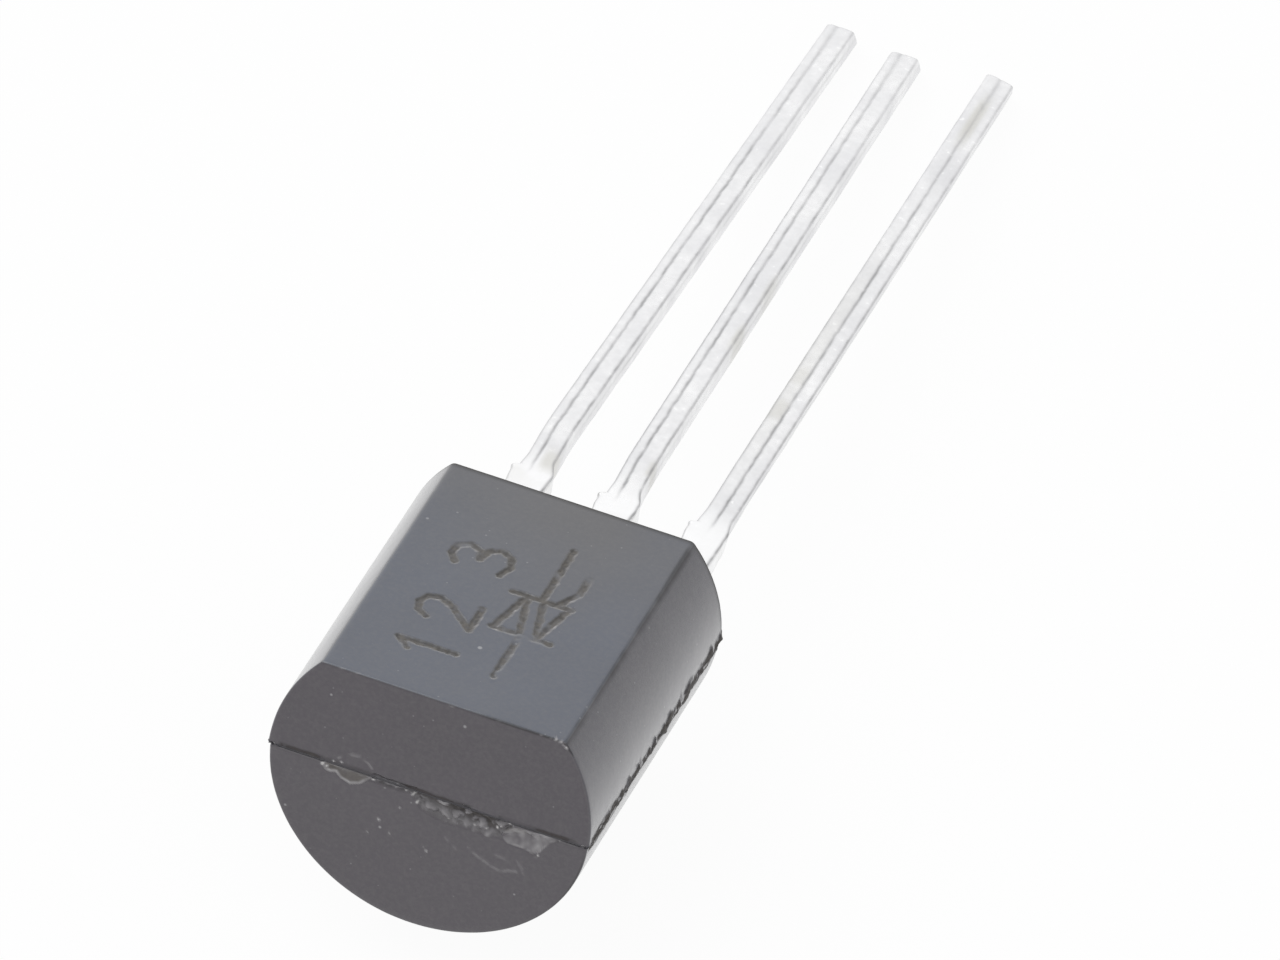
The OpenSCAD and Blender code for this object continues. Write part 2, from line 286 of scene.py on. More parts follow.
def sectionSide():
    # right half of the section, from the flat round to the back: place and normal in x and z,
    # whether it is on the front half, and how far it stands proud
    r, edge = body["radius"], body["flatEdge"]
    edgeZ = body["flatHeight"] - edge
    edgeX = math.sqrt((r - edge) ** 2 - edgeZ ** 2)
    touch = math.atan2(edgeZ, edgeX)
    side = []
    for i in range(6):
        a = math.pi / 2 + (touch - math.pi / 2) * i / 5
        x, z, nx, nz, inFront, proud = onArc(edge, a, True)
        side.append((edgeX + x, edgeZ + z, nx, nz, inFront, proud))
    arc = r * touch
    for run in [arc - (arc - 0.2) * i / 20 for i in range(1, 21)] + [0.14, 0.09, 0.055, 0.03, 0.01]:
        side.append(onArc(r, run / r, True))
    thick, out = body["flashThick"], body["flashOut"]
    for drop, proud in ((0.1, 0.6), (0.3, 1.0), (0.75, 0.9), (1.0, 0.4)):
        side.append((r, -drop * thick, 1.0, 0.0, True, proud * out))
    for run, proud in ((0.038, -0.024), (0.05, -0.02), (0.064, -0.004)):
        side.append(onArc(backRadius, -run / backRadius, False, proud))
    straightRun = backRadius * math.radians(body["straight"])
    cornerRun = backRadius * math.radians(body["corner"])
    runs = [0.095, 0.13, 0.17, 0.22, 0.28] + [0.28 + (straightRun - 0.28) * i / 10 for i in range(1, 11)]
    straightRow = len(side) + len(runs) - 1
    runs += [straightRun + (cornerRun - straightRun) * i / 12 for i in range(1, 13)]
    side += [onArc(backRadius, -run / backRadius, False) for run in runs]
    return side, straightRow, edgeX


def bodyMesh():
    side, straightRow, edgeX = sectionSide()
    columns, rows = body["columns"], len(side) - 1
    corner = math.radians(body["corner"])
    loop = [(edgeX * (2 * i / columns - 1), body["flatHeight"], 0.0, 1.0, True, 0.0) for i in range(columns)]
    loop += side[:-1]
    loop += [onArc(backRadius, -corner - (math.pi - 2 * corner) * i / columns, False) for i in range(columns)]
    loop += [(-x, z, -nx, nz, inFront, out) for x, z, nx, nz, inFront, out in reversed(side[1:])]

    def limits(z, inFront, out):
        if inFront:
            lean = max(z, 0.0) * frontLean
            return endFaceY + lean - out, leadFaceY - lean + out
        lean = max(-z, 0.0) * backLean
        return endFaceY + body["step"] + lean - out, leadFaceY - body["step"] - lean + out

    edge, leadEdge = body["capEdge"], body["leadEdge"]
    steps = [math.radians(a) for a in (90, 62, 35, 12)]
    rings = [("end", a) for a in steps]
    rings += [("wall", j / body["turns"]) for j in range(body["turns"] + 1)]
    rings += [("lead", a) for a in reversed(steps)]

    bm = bmesh.new()
    placed = []
    for kind, value in rings:
        ring = []
        for x, z, nx, nz, inFront, out in loop:
            inset = 0.0 if kind == "wall" else (edge if kind == "end" else leadEdge) * (1 - math.cos(value))
            px, pz = x + (out - inset) * nx, z + (out - inset) * nz
            end, lead = limits(pz, inFront, out)
            if kind == "wall":
                y = (end + edge) * (1 - value) + (lead - leadEdge) * value
            elif kind == "end":
                y = end + edge * (1 - math.sin(value))
            else:
                y = lead - leadEdge * (1 - math.sin(value))
            ring.append(bm.verts.new((px, y, pz)))
        placed.append(ring)
    count = len(loop)
    for lower, upper in zip(placed, placed[1:]):
        for i in range(count):
            j = (i + 1) % count
            bm.faces.new((lower[i], lower[j], upper[j], upper[i]))

    def border(ring, i, k):
        if k == 0:
            return ring[i]
        if i == columns:
            return ring[columns + k]
        if k == rows:
            return ring[columns + rows + columns - i]
        return ring[2 * columns + 2 * rows - k]

    for ring, isEnd in ((placed[0], True), (placed[-1], False)):
        grid = {}
        for k in range(rows + 1):
            for i in range(columns + 1):
                if k in (0, rows) or i in (0, columns):
                    grid[i, k] = border(ring, i, k)
        for k in range(1, rows):
            inFront, out = side[k][4], side[k][5]
            for i in range(1, columns):
                u = i / columns
                p = grid[0, k].co.lerp(grid[columns, k].co, u)
                if k > straightRow:
                    # further down, the rows bend towards the round back
                    sag = grid[i, rows].co - grid[0, rows].co.lerp(grid[columns, rows].co, u)
                    p += sag * (k - straightRow) / (rows - straightRow)
                end, lead = limits(p.z, inFront, out)
                grid[i, k] = bm.verts.new((p.x, end if isEnd else lead, p.z))
        for k in range(rows):
            for i in range(columns):
                corners = (grid[i, k], grid[i + 1, k], grid[i + 1, k + 1], grid[i, k + 1])
                bm.faces.new(corners if isEnd else tuple(reversed(corners)))
    return bm


def refine(bm, cuts, wanted):
    # splits the quads of a region into cuts + 1 by cuts + 1
    inside = {v for v in bm.verts if wanted(v.co)}
    edges = [e for e in bm.edges if e.verts[0] in inside and e.verts[1] in inside]
    bmesh.ops.subdivide_edges(bm, edges=edges, cuts=cuts, use_grid_fill=True)


# engraved marks: two lines of strokes that read along the leads, with their tops to the left.
# Strokes are polylines of (along, up) from the start of each line.
marks = {
    "stroke": 0.045,       # half the width of a stroke
    "depth": 0.02,
    "shadedSide": (-0.49, 0.87),  # the side of a stroke that gets painted shade; the other side gets a painted highlight
    "lines": [
        {"along": -3.95, "across": -0.22, "strokes": [
            # pin numbers 1 2 3
            [(0.05, 0.6), (0.22, 0.78), (0.22, 0.0)],
            [(0.78, 0.62), (0.86, 0.75), (1.02, 0.8), (1.18, 0.73), (1.22, 0.57), (1.12, 0.38),
             (0.76, 0.02), (1.26, 0.02)],
            [(2.02, 0.7), (2.16, 0.8), (2.34, 0.78), (2.44, 0.63), (2.38, 0.47), (2.2, 0.42)],
            [(2.2, 0.42), (2.42, 0.37), (2.5, 0.22), (2.42, 0.06), (2.22, 0.0), (2.02, 0.08)],
        ]},
        {"along": -3.9, "across": 0.78, "strokes": [
            # triac symbol lying along the line
            [(0.0, 0.4), (0.95, 0.4)],
            [(0.95, 0.0), (0.95, 0.8)],
            [(1.75, 0.0), (1.75, 0.8)],
            [(1.75, 0.4), (2.9, 0.4)],
            [(0.95, 0.78), (1.75, 0.6), (0.95, 0.42)],
            [(1.75, 0.02), (0.95, 0.2), (1.75, 0.38)],
            [(1.75, 0.2), (2.1, 0.02), (2.45, 0.02)],
        ]},
    ],
}

# what happened to the moulding when it was broken out of its mould and handled
damage = {
    "scarDepth": 0.05,     # where the gate broke off the end face, with its outline in x and z
    "scar": [
        (-0.34, 0.0), (-0.22, -0.1), (-0.1, -0.3), (0.09, -0.35), (0.26, -0.4), (0.51, -0.36),
        (0.89, -0.37), (1.06, -0.34), (1.2, -0.12), (1.16, -0.02), (0.5, 0.02), (0.0, -0.01),
    ],
    "spallDepth": 0.05,    # the flake that came off beside it
    "spall": [
        (1.0, -0.29), (1.14, -0.39), (1.3, -0.37), (1.48, -0.43), (1.6, -0.34), (1.68, -0.16),
        (1.84, -0.05), (1.57, -0.05), (1.33, -0.09), (1.17, -0.11), (1.05, -0.2),
    ],
    "chipDepth": 0.035,    # the shallow brown chip on the other side
    "chip": [
        (-1.47, -0.05), (-1.43, -0.16), (-1.34, -0.17), (-1.25, -0.15), (-1.19, -0.22),
        (-1.06, -0.27), (-0.92, -0.22), (-0.82, -0.1), (-0.76, -0.05),
    ],
    "crumbs": [            # small bright crumbs on the end face, some of them painted glints: x, z, radius
        (1.8, -0.04, 0.034), (1.12, -0.09, 0.028), (1.02, -0.14, 0.024), (1.56, -0.4, 0.016),
        (-1.45, -0.08, 0.034), (-1.4, -0.12, 0.03), (-1.3, 0.03, 0.018), (-1.2, 0.05, 0.02),
        (-0.75, -0.07, 0.024), (-0.42, -0.02, 0.026), (-0.3, -0.07, 0.022), (-0.2, -0.1, 0.03),
        (-0.13, -0.2, 0.028), (0.3, -0.33, 0.022), (0.66, -0.3, 0.026), (0.82, -0.28, 0.024),
        (0.95, -0.22, 0.026), (-0.61, -0.68, 0.026), (-0.74, -0.94, 0.015), (-0.44, -0.84, 0.014),
        (-0.35, -0.38, 0.018), (0.08, -0.93, 0.016),
    ],
    "scratches": [         # on the end face: line, half width, strength
        ([(-1.25, 0.09), (-1.14, 0.19), (-0.99, 0.21), (-0.85, 0.16), (-0.79, 0.1)], 0.016, 0.35),
        ([(0.62, -0.66), (0.78, -0.76), (0.95, -0.83), (1.1, -0.87), (1.2, -0.81), (1.3, -0.79)], 0.02, 0.3),
        ([(0.3, -0.62), (0.44, -0.74), (0.5, -0.79)], 0.02, 0.16),
        ([(1.0, -0.63), (1.15, -0.66), (1.28, -0.62), (1.36, -0.7), (1.4, -0.78)], 0.022, 0.18),
    ],
    "nicks": [             # dents in the flat's edge over the end face: place, radius
        ((-1.42, -4.72, 1.45), 0.022), ((-1.2, -4.72, 1.45), 0.018), ((0.1, -4.73, 1.43), 0.024),
        ((0.73, -4.715, 1.45), 0.026), ((1.05, -4.715, 1.45), 0.018), ((1.33, -4.715, 1.45), 0.026),
        ((1.47, -4.71, 1.45), 0.022), ((1.53, -4.70, 1.45), 0.032), ((1.6, -4.72, 1.44), 0.036),
        ((1.66, -4.71, 1.41), 0.034), ((1.7, -4.72, 1.37), 0.03), ((1.9, -4.76, 1.1), 0.026),
        ((-0.3, -4.72, 1.45), 0.016), ((0.3, -4.72, 1.45), 0.014),
    ],
    "seamDirt": [          # lumps on the side seams: place and half length along y
        (-0.02, 0.06), (-0.36, 0.1), (-0.7, 0.05), (-1.15, 0.17), (-1.53, 0.05), (-1.86, 0.12), (-2.08, 0.05),
        (-2.42, 0.07), (-2.62, 0.04), (-3.02, 0.06), (-3.36, 0.09), (-3.62, 0.06), (-4.1, 0.05),
    ],
    "seamFlash": [(0.06, 0.05), (-1.45, 0.07), (-1.66, 0.04), (-2.93, 0.06)],  # and pale bits of flash
}


def grains(p):
    # broken filler: rounded lumps of several sizes, from about -1 in the pits to 1 on the tops
    near = noise.voronoi(p * 6)[0]
    return 1.4 * (near[1] - near[0]) - 0.6 + 0.6 * ripple(p, 11, 3.0) + 0.3 * ripple(p, 24, 1.0)


def scarWear(p, x, z, inside):
    # the gate scar: coarse grains, paler on their tops, darker in the pits between them and along the scar's
    # top
    level = grains(p)
    amount = smooth(-0.02, 0.03, inside + 0.03 * level)
    upper = smooth(-0.3, -0.08, z + 0.16 * (x - 0.4)) * smooth(1.15, 0.8, x)
    tops = 0.5 * smooth(-0.1, 0.6, level) + 0.4 * smooth(0.3, 0.6, level) * smooth(0.25, -0.1, x)
    depth = amount * (0.6 * damage["scarDepth"] - 0.055 * level)
    grimeAndShade = amount * smooth(-0.08, -0.5, level) * (0.3 + 0.5 * upper)
    return depth, amount * (0.36 - 0.14 * upper + tops), grimeAndShade


def endFaceWear(p):
    # depth into the end face, and how pale it is from fresh breaks and painted highlights, how dark, and how
    # brown it is there
    x, z = p.x, p.z
    depth = freshAndHighlight = grimeAndShade = brown = 0.0
    if z < 0.3:
        x += 0.025 * ripple(p, 5, 3.0)
        z += 0.025 * ripple(p, 6, 8.0)
        scar, spall, chip = (depthInside(x, z, damage[name]) for name in ("scar", "spall", "chip"))
        if scar > -0.02:
            depth, freshAndHighlight, grimeAndShade = scarWear(p, x, z, scar)
        if spall > -0.01:
            amount = smooth(-0.01, 0.015, spall)
            rough = ripple(p, 6, 6.0) + 0.5 * ripple(p, 15, 2.0)
            hollow = 0.012 + damage["spallDepth"] * smooth(0.0, 0.14, spall) - 0.022 * rough
            # the flake's rim is painted pale where it would catch the light: a painted highlight
            lit = smooth(-0.25, 0.2, ripple(p, 9, 1.0) - 1.6 * (z + 0.26) - 1.2 * smooth(1.25, 1.05, x))
            depth = max(depth * (1 - amount), amount * hollow)
            rim = smooth(0.03, 0.012, spall) * lit
            freshAndHighlight = max(freshAndHighlight * (1 - amount), amount * (0.42 + 0.6 * rough + 0.4 * rim))
            grimeAndShade *= 1 - amount
            brown = amount * smooth(1.42, 1.2, x) * smooth(-0.25, -0.15, z)
        if chip > -0.01:
            amount = smooth(-0.01, 0.012, chip)
            hollow = 0.012 + damage["chipDepth"] * smooth(0.0, 0.09, chip) - 0.004 * ripple(p, 9, 2.0)
            # the chip's rim is painted pale where it would catch the light: a painted highlight
            lit = smooth(-0.35, 0.25, ripple(p, 7, 1.0) + 0.5 * smooth(-1.2, -1.4, x))
            rim = smooth(0.026, 0.004, abs(chip - 0.008)) * lit
            depth = max(depth, amount * hollow)
            freshAndHighlight = max(freshAndHighlight, amount * (0.16 + 0.2 * ripple(p, 6, 6.0)) + 0.7 * rim)
            brown = max(brown, 0.75 * amount)
        # bright crumbs, some of them painted glints
        for px, pz, radius in damage["crumbs"]:
            away = math.hypot(p.x - px, p.z - pz)
            if away < radius * 1.5:
                spot = smooth(radius * 1.4, radius * 0.4, away + 0.012 * ripple(p, 18, 3.0))
                freshAndHighlight, grimeAndShade, depth = max(freshAndHighlight, spot), grimeAndShade * (1 - spot), depth - 0.012 * spot
        # loose grains where the parting line runs into the scar
        loose = between(-0.85, -0.7, -0.25, -0.05, x) * between(-0.14, -0.08, 0.02, 0.05, z)
        if loose > 0:
            level = grains(p * 1.15)
            freshAndHighlight = max(freshAndHighlight, loose * smooth(-0.1, 0.6, level) * 0.9)
            grimeAndShade = max(grimeAndShade, loose * smooth(-0.1, -0.5, level) * 0.5)
            depth += loose * 0.015 * (0.4 - level)
    for line, half, strength in damage["scratches"]:
        if z < 0.3 and depth == 0:
            away = distanceTo(p.x, p.z, line)
            if away < 0.05:
                cut = smooth(half * 1.6, half * 0.4, away) * smooth(-0.4, 0.2, ripple(p, 8, 5.0))
                depth += 0.004 * cut
                freshAndHighlight = max(freshAndHighlight, cut * strength)
    return depth, freshAndHighlight, grimeAndShade, brown


def breakFlash(p, shift, atEnd):
    # the flash is broken away unevenly, and leaves a groove darkened with dirt and painted shade; gives the
    # share of it that is left.
    # Here and in the steps below, shift changes in place.
    left = 0.45 * ripple(p, 1.5, 6.0) + 0.5 * ripple(p, 5, 8.0) + 0.3 * ripple(p, 13, 2.0)
    left = smooth(0.1, 0.5, left - (0.12 if atEnd else 0.0)) * (1 - smooth(1.9, 2.08, abs(p.x)) * atEnd)
    if -body["flashThick"] - 0.001 <= p.z <= -0.001:
        radial = math.hypot(p.x, p.z)
        beyond = radial - body["radius"] + 0.03
        if radial > body["radius"]:
            shift -= Vector((p.x, 0, p.z)) / radial * beyond * (1 - left)
        for limit, sign in ((endFaceY, -1), (leadFaceY, 1)):
            if (p.y - limit) * sign > 0:
                shift.y -= ((p.y - limit) + 0.03 * sign) * (1 - left)
    return left


def nearLump(p, lumps):
    # all the lumps are on the right side, and some also on the left
    closest = 0.0
    for place, half in lumps:
        if p.x > 0 or place * 7 % 1 > 0.5:
            closest = max(closest, smooth(half * 1.7, half * 0.4, abs(p.y - place) + 0.5 * abs(p.z - 0.01)))
    return closest


def sideSeam(p, n, shift):
    # rough dark band along each side, thicker in places, partly dirt in the crease and partly painted shade
    # under the flash: how fresh and dark it is
    darkening, pale = nearLump(p, damage["seamDirt"]), nearLump(p, damage["seamFlash"])
    along = (p.x, p.y, 0)
    wide = 0.05 * ripple(along, 2.5, 3.0) + 0.022 * ripple(along, 7, 1.0) + 0.1 * darkening + 0.04 * pale
    wide = wide - 0.045 - 0.03 * smooth(-4.3, -4.75, p.y)
    band = between(-0.27 - wide, -0.17 - 0.7 * wide, 0.09 + 0.6 * wide, 0.17 + wide, p.z)
    grimeAndShade = band * clip(0.72 + 0.9 * ripple(p, 12, 5.0) + 0.2 * darkening, 0.3, 0.95) * (1 - 0.9 * pale)
    flake = 0.6 * band * smooth(0.12, 0.45, ripple(p, 10, 9.0))
    shift += n * (0.012 * band * (0.35 + ripple(p, 14, 3.0)) + 0.02 * darkening * band + 0.012 * pale)
    return max(0.8 * pale * (0.8 + 0.5 * ripple(p, 16, 2.0)), flake), grimeAndShade


def partingGroove(p, left, atEnd):
    # thin dark line between the halves, partly dirt and partly painted shade in the groove, broken up where
    # it runs over the scar
    inward = smooth(2.09, 2.02, abs(p.x))
    groove = between(-0.026, -0.005, 0.026 + 0.014 * ripple(p, 4, 2.0), 0.066, p.z) * inward
    freshAndHighlight = 0.0
    if atEnd:
        overScar = between(-0.25, 0.0, 0.9, 1.1, p.x)
        whole = 2 * between(0.55, 0.75, 0.9, 1.0, p.x)
        groove *= 1 - overScar * smooth(0.25, -0.25, ripple(p, 4, 9.0) + 0.15 - whole)
        freshAndHighlight = 0.16 * between(-0.09, -0.06, -0.035, -0.02, p.z) * inward
    return freshAndHighlight, groove * clip(0.46 + 0.5 * ripple(p, 5, 4.0), 0.2, 0.75) * (1 - 0.4 * left)


def paintedEdgeLight(p, n):
    # painted shade in a thin dark line along the sharp edges, and a slight painted highlight down the end
    # face's right edge
    turned, freshAndHighlight = abs(n.y), 0.0
    if p.y > -1.0:
        line = 0.95 * between(0.1, 0.2, 0.9, 1.0, turned)
        darkening = max(line, 0.6 * smooth(0.09, 0.07, leadFaceY - abs(p.z) * frontLean - p.y))
    else:
        # painted shade round the end face's rim: along its top edge, stronger to the right, and round its
        # lower half
        darkening = between(0.1, 0.3, 0.9, 1.0, turned)
        if p.z > 1.3:
            darkening *= 0.1 + 0.5 * smooth(0.2, 0.9, p.x + 0.5 * ripple(p, 3, 7.0))
        else:
            darkening *= 0.5 * smooth(-0.1, -0.4, p.z)
        # a painted highlight down the end face's right edge
        if 0.05 < p.z < 1.3 and p.x > 0:
            freshAndHighlight = 0.08 * between(0.1, 0.3, 0.93, 1.0, turned)
    if p.z > 1.1:
        # painted dark reflections along the flat's long edges, darker in a patch at the lead end of the right
        # one
        patchy = 0.4 + 0.3 * ripple(p, 2.2, 8.0) + 0.2 * ripple(p, 7, 3.0)
        toRight = smooth(0.0, 0.5, p.x)
        longEdge = between(0.61, 0.66, 0.93, 0.995, n.z) * (0.35 + 0.65 * toRight) * patchy
        darkReflection = between(0.61, 0.66, 0.97, 1.0, n.z) * between(-1.3, -0.8, -0.25, -0.1, p.y) * toRight
        darkening = max(darkening, longEdge, 0.6 * darkReflection)
    return freshAndHighlight, darkening


def markDistance(x, y):
    return min(
        distanceTo(y - line["along"], line["across"] - x, stroke)
        for line in marks["lines"] for stroke in line["strokes"]
    )


def engrave(p, shift, freshAndHighlight, grimeAndShade, away):
    # brown and pitted in a stroke; its rim has painted shade on the shaded side, and is raised with a painted
    # highlight on the other
    shadedX, shadedY = marks["shadedSide"]
    towardShade = (markDistance(p.x + 0.02 * shadedX, p.y + 0.02 * shadedY) - away) / 0.02
    away += 0.010 * ripple(p, 9, 12.0) + 0.012 * ripple(p, 21, 1.0)
    half = marks["stroke"]
    worn = smooth(-0.75, -0.1, ripple(p, 3.1, 2.0) + 0.4 * ripple(p, 8, 4.0))
    cut = worn * smooth(half + 0.012, half - 0.02, away)
    rim = smooth(0.03, 0.006, abs(away - half)) * worn
    shift.z -= cut * marks["depth"] * (1 + 0.6 * ripple(p, 17, 7.0))
    shift.z += 0.006 * rim * smooth(0.0, -0.7, towardShade)
    # the rim's lit side gets a painted highlight, and its shaded side painted shade
    paintedHighlight = rim * smooth(-0.1, -0.8, towardShade) * (0.25 + 0.75 * smooth(0.1, 0.5, ripple(p, 9, 5.0)))
    paintedRimShade = 0.55 * rim * smooth(0.1, 0.8, towardShade) * smooth(-0.5, 0.2, ripple(p, 7, 5.0))
    pits = 0.5 * cut * smooth(-0.1, -0.5, ripple(p, 19, 3.0))
    return 0.85 * worn * smooth(half + 0.03, half - 0.01, away), max(freshAndHighlight, paintedHighlight), max(grimeAndShade, paintedRimShade, pits)


def bodyDetail(p, n):
    # how far a point of the body moves, and its wear and painted light: mark, fresh break with painted
    # highlights, dirt with painted shade, and blue film
    shift = n * (0.003 * ripple(p, 0.7, 4.0) + 0.0012 * ripple(p, 8, 2.0))
    mark = freshAndHighlight = grimeAndShade = 0.0
    film = 0.25 + 0.06 * ripple(p, 0.8, 3.0)
    atEnd = p.y < -4.72
    left = breakFlash(p, shift, atEnd)
    if abs(p.z) < 0.4 and abs(p.x) > 2.0 and not atEnd:
        freshAndHighlight, grimeAndShade = sideSeam(p, n, shift)
    elif p.z < 0.2:
        freshAndHighlight, grimeAndShade = partingGroove(p, left, atEnd)
    onEnd = smooth(0.6, 0.9, -n.y) if p.y < -4.5 else 0.0
    if onEnd:
        depth, broken, darkened, brown = endFaceWear(p)
        shift.y += onEnd * depth
        freshAndHighlight = max(freshAndHighlight, onEnd * broken)
        grimeAndShade = max(grimeAndShade * (1 - onEnd * min(1.0, broken * 1.5)), onEnd * darkened)
        mark = onEnd * brown
        film *= 1 - onEnd
    # painted shade along the edges, and a painted highlight down the end face's right edge
    paintedHighlight, darkening = paintedEdgeLight(p, n)
    freshAndHighlight, grimeAndShade = max(freshAndHighlight, paintedHighlight), max(grimeAndShade, darkening)
    if p.y < -4.6 and p.z > 1.0:
        for place, radius in damage["nicks"]:
            away = (p - Vector(place)).length + 0.01 * ripple(p, 20, 4.0)
            if away < radius * 1.4:
                dent = smooth(radius * 1.3, radius * 0.4, away)
                shift -= n * 0.35 * radius * dent
                freshAndHighlight = max(freshAndHighlight, dent * (0.65 + 0.9 * ripple(p, 22, 9.0)))
                grimeAndShade = max(grimeAndShade * (1 - dent), 0.8 * smooth(-0.05, -0.3, ripple(p, 22, 9.0)) * dent)
    if n.z > 0.8 and p.z > 1.3:
        # on the flat the film thickens towards the end face and the right
        film = 0.5 + 0.5 * smooth(0.4, -3.2, p.y + 0.5 * p.x) + 0.2 * smooth(0.5, 1.4, p.x)
        film += 0.08 * ripple(p, 0.9, 3.0)
        away = markDistance(p.x, p.y)
        if away < 0.2:
            mark, freshAndHighlight, grimeAndShade = engrave(p, shift, freshAndHighlight, grimeAndShade, away)
    return shift, (clip(mark), clip(freshAndHighlight), clip(grimeAndShade), clip(film))


bm = bodyMesh()
# finer mesh round the scar, below it, under the marks, at the side seams and at the flat's worn corner
refine(bm, 3, lambda p: p.y < -4.74 and -0.48 < p.z < 0.24 and abs(p.x) < 2.14)
refine(bm, 2, lambda p: p.y < -4.74 and -1.02 < p.z < -0.48 and -0.85 < p.x < 1.5)
refine(bm, 2, lambda p: p.z > 1.44 and -4.05 < p.y < -0.85 and -1.15 < p.x < 0.95)
refine(bm, 2, lambda p: abs(p.x) > 2.11 and -0.42 < p.z < 0.28)
refine(bm, 2, lambda p: p.y < -4.67 and p.z > 1.3 and p.x > 1.1)
bmesh.ops.recalc_face_normals(bm, faces=bm.faces)
bm.normal_update()
bm.verts.index_update()
wearAndPaintedLight = []
for v in bm.verts:
    shift, worn = bodyDetail(v.co, v.normal)
    v.co += shift
    wearAndPaintedLight.append(worn)
shadedAndGrimyFaces = []  # faces mostly under dirt and painted shade lose their gloss, apart from those on and near the flat
for i, face in enumerate(bm.faces):
    middle = face.calc_center_median()
    darkened = sum(wearAndPaintedLight[v.index][2] for v in face.verts) > 0.5 * len(face.verts)
    if darkened and (middle.z < 0.7 or middle.y > -0.1):
        shadedAndGrimyFaces.append(i)
bodyPiece = newPiece("body_moulding", bm, "moulded_body", wearAndPaintedLight)
print("moulded body:", len(bodyPiece.data.polygons), "faces")

leads = {
    "pitch": 1.27,
    "frameShift": 0.035,   # the lead frame sits off the middle of the moulding
    "thick": 0.38,
    "width": 0.4,
    "stubWidth": 0.52,
    "tieWidth": 0.57,
    "tieLength": 0.5,
    "stubLength": 1.93,
    "shoulder": 0.2,
    "softCorner": 0.05,    # edges rounded by the punch, on the left and below
    "crispCorner": 0.022,
    "crown": 0.016,        # how much the middle of each face stands above its edges
    "lineDepth": 0.016,
    "slant": 0.27,         # the cut at each tip leaves the top this much shorter than the underside
    "start": -0.3,         # the detailed part starts this far inside the body
    "stations": 240,
    "rounding": [          # of the cut end: how far back from the tip, and how far in
        (0.07, 0.0), (0.05, 0.003), (0.032, 0.011), (0.018, 0.022), (0.008, 0.036), (0.002, 0.05),
        (0.0, 0.062),
    ],
    # line is where the painted dark reflection runs on top, off the middle; bulge is how far the tie bar
    # stands out on the right; a stain is its place along, reach, strength, and from where to where it lies
    # across
    "each": {
        "main_terminal_2_lead": {
            "place": -1, "length": 13.19, "lean": 1.5, "twist": 0.0, "seed": 1.0,
            "line": -0.045, "stubShift": 0.06, "bulge": 1.0,
            "stains": [(2.2, 0.35, 0.9, 0.02, 0.3)],
        },
        "gate_lead": {
            "place": 0, "length": 13.05, "lean": 0.15, "twist": 0.0, "seed": 2.0,
            "line": -0.045, "stubShift": 0.045, "bulge": 1.0,
            "stains": [(2.7, 0.25, 0.8, 0.12, 0.3), (5.9, 0.4, 0.9, 0.13, 0.3), (7.1, 0.5, 0.7, 0.15, 0.3)],
        },
        "main_terminal_1_lead": {
            "place": 1, "length": 13.19, "lean": 0.2, "twist": 12.0, "seed": 3.0,
            "line": 0.0, "stubShift": 0.015, "bulge": -0.4,
            "stains": [(5.5, 0.35, 0.7, -0.25, 0.0), (4.7, 0.4, 0.8, -0.25, 0.0), (6.0, 3.5, 0.3, -0.25, 0.0),
                       (11.9, 0.9, 1.0, -0.08, 0.07)],
        },
    },
}


def bell(away, reach):
    return math.exp(-(away / reach) ** 2)


def wander(y, scale, seed):
    # noise that changes only along a lead
    return ripple((0, y, 0), scale, seed)


def leadHalfWidths(y, seed, bulge):
    # left and right half width: stub, sheared tie bar, shoulder, lead
    stub, tie, lead = leads["stubWidth"] / 2, leads["tieWidth"] / 2, leads["width"] / 2
    tieStart, tieEnd = leads["stubLength"] - leads["tieLength"], leads["stubLength"]
    torn = 0.008 * wander(y, 6, seed)
    left = stub + (tie - stub + 0.004 + torn) * smooth(tieStart, tieEnd - 0.1, y)
    left += 0.022 * bell(y - tieEnd + 0.02, 0.035)
    abrupt, slow = smooth(tieEnd - 0.01, tieEnd + 0.045, y), smooth(tieEnd + 0.04, tieEnd + 0.4, y)
    left += (lead - left) * (0.75 * abrupt + 0.25 * slow)
    right = stub + bulge * (tie - stub - 0.004 + torn) * smooth(tieStart, tieEnd - 0.2, y)
    right += (lead - right) * smooth(tieEnd - 0.05, tieEnd + leads["shoulder"] + 0.1, y)
    return left, right


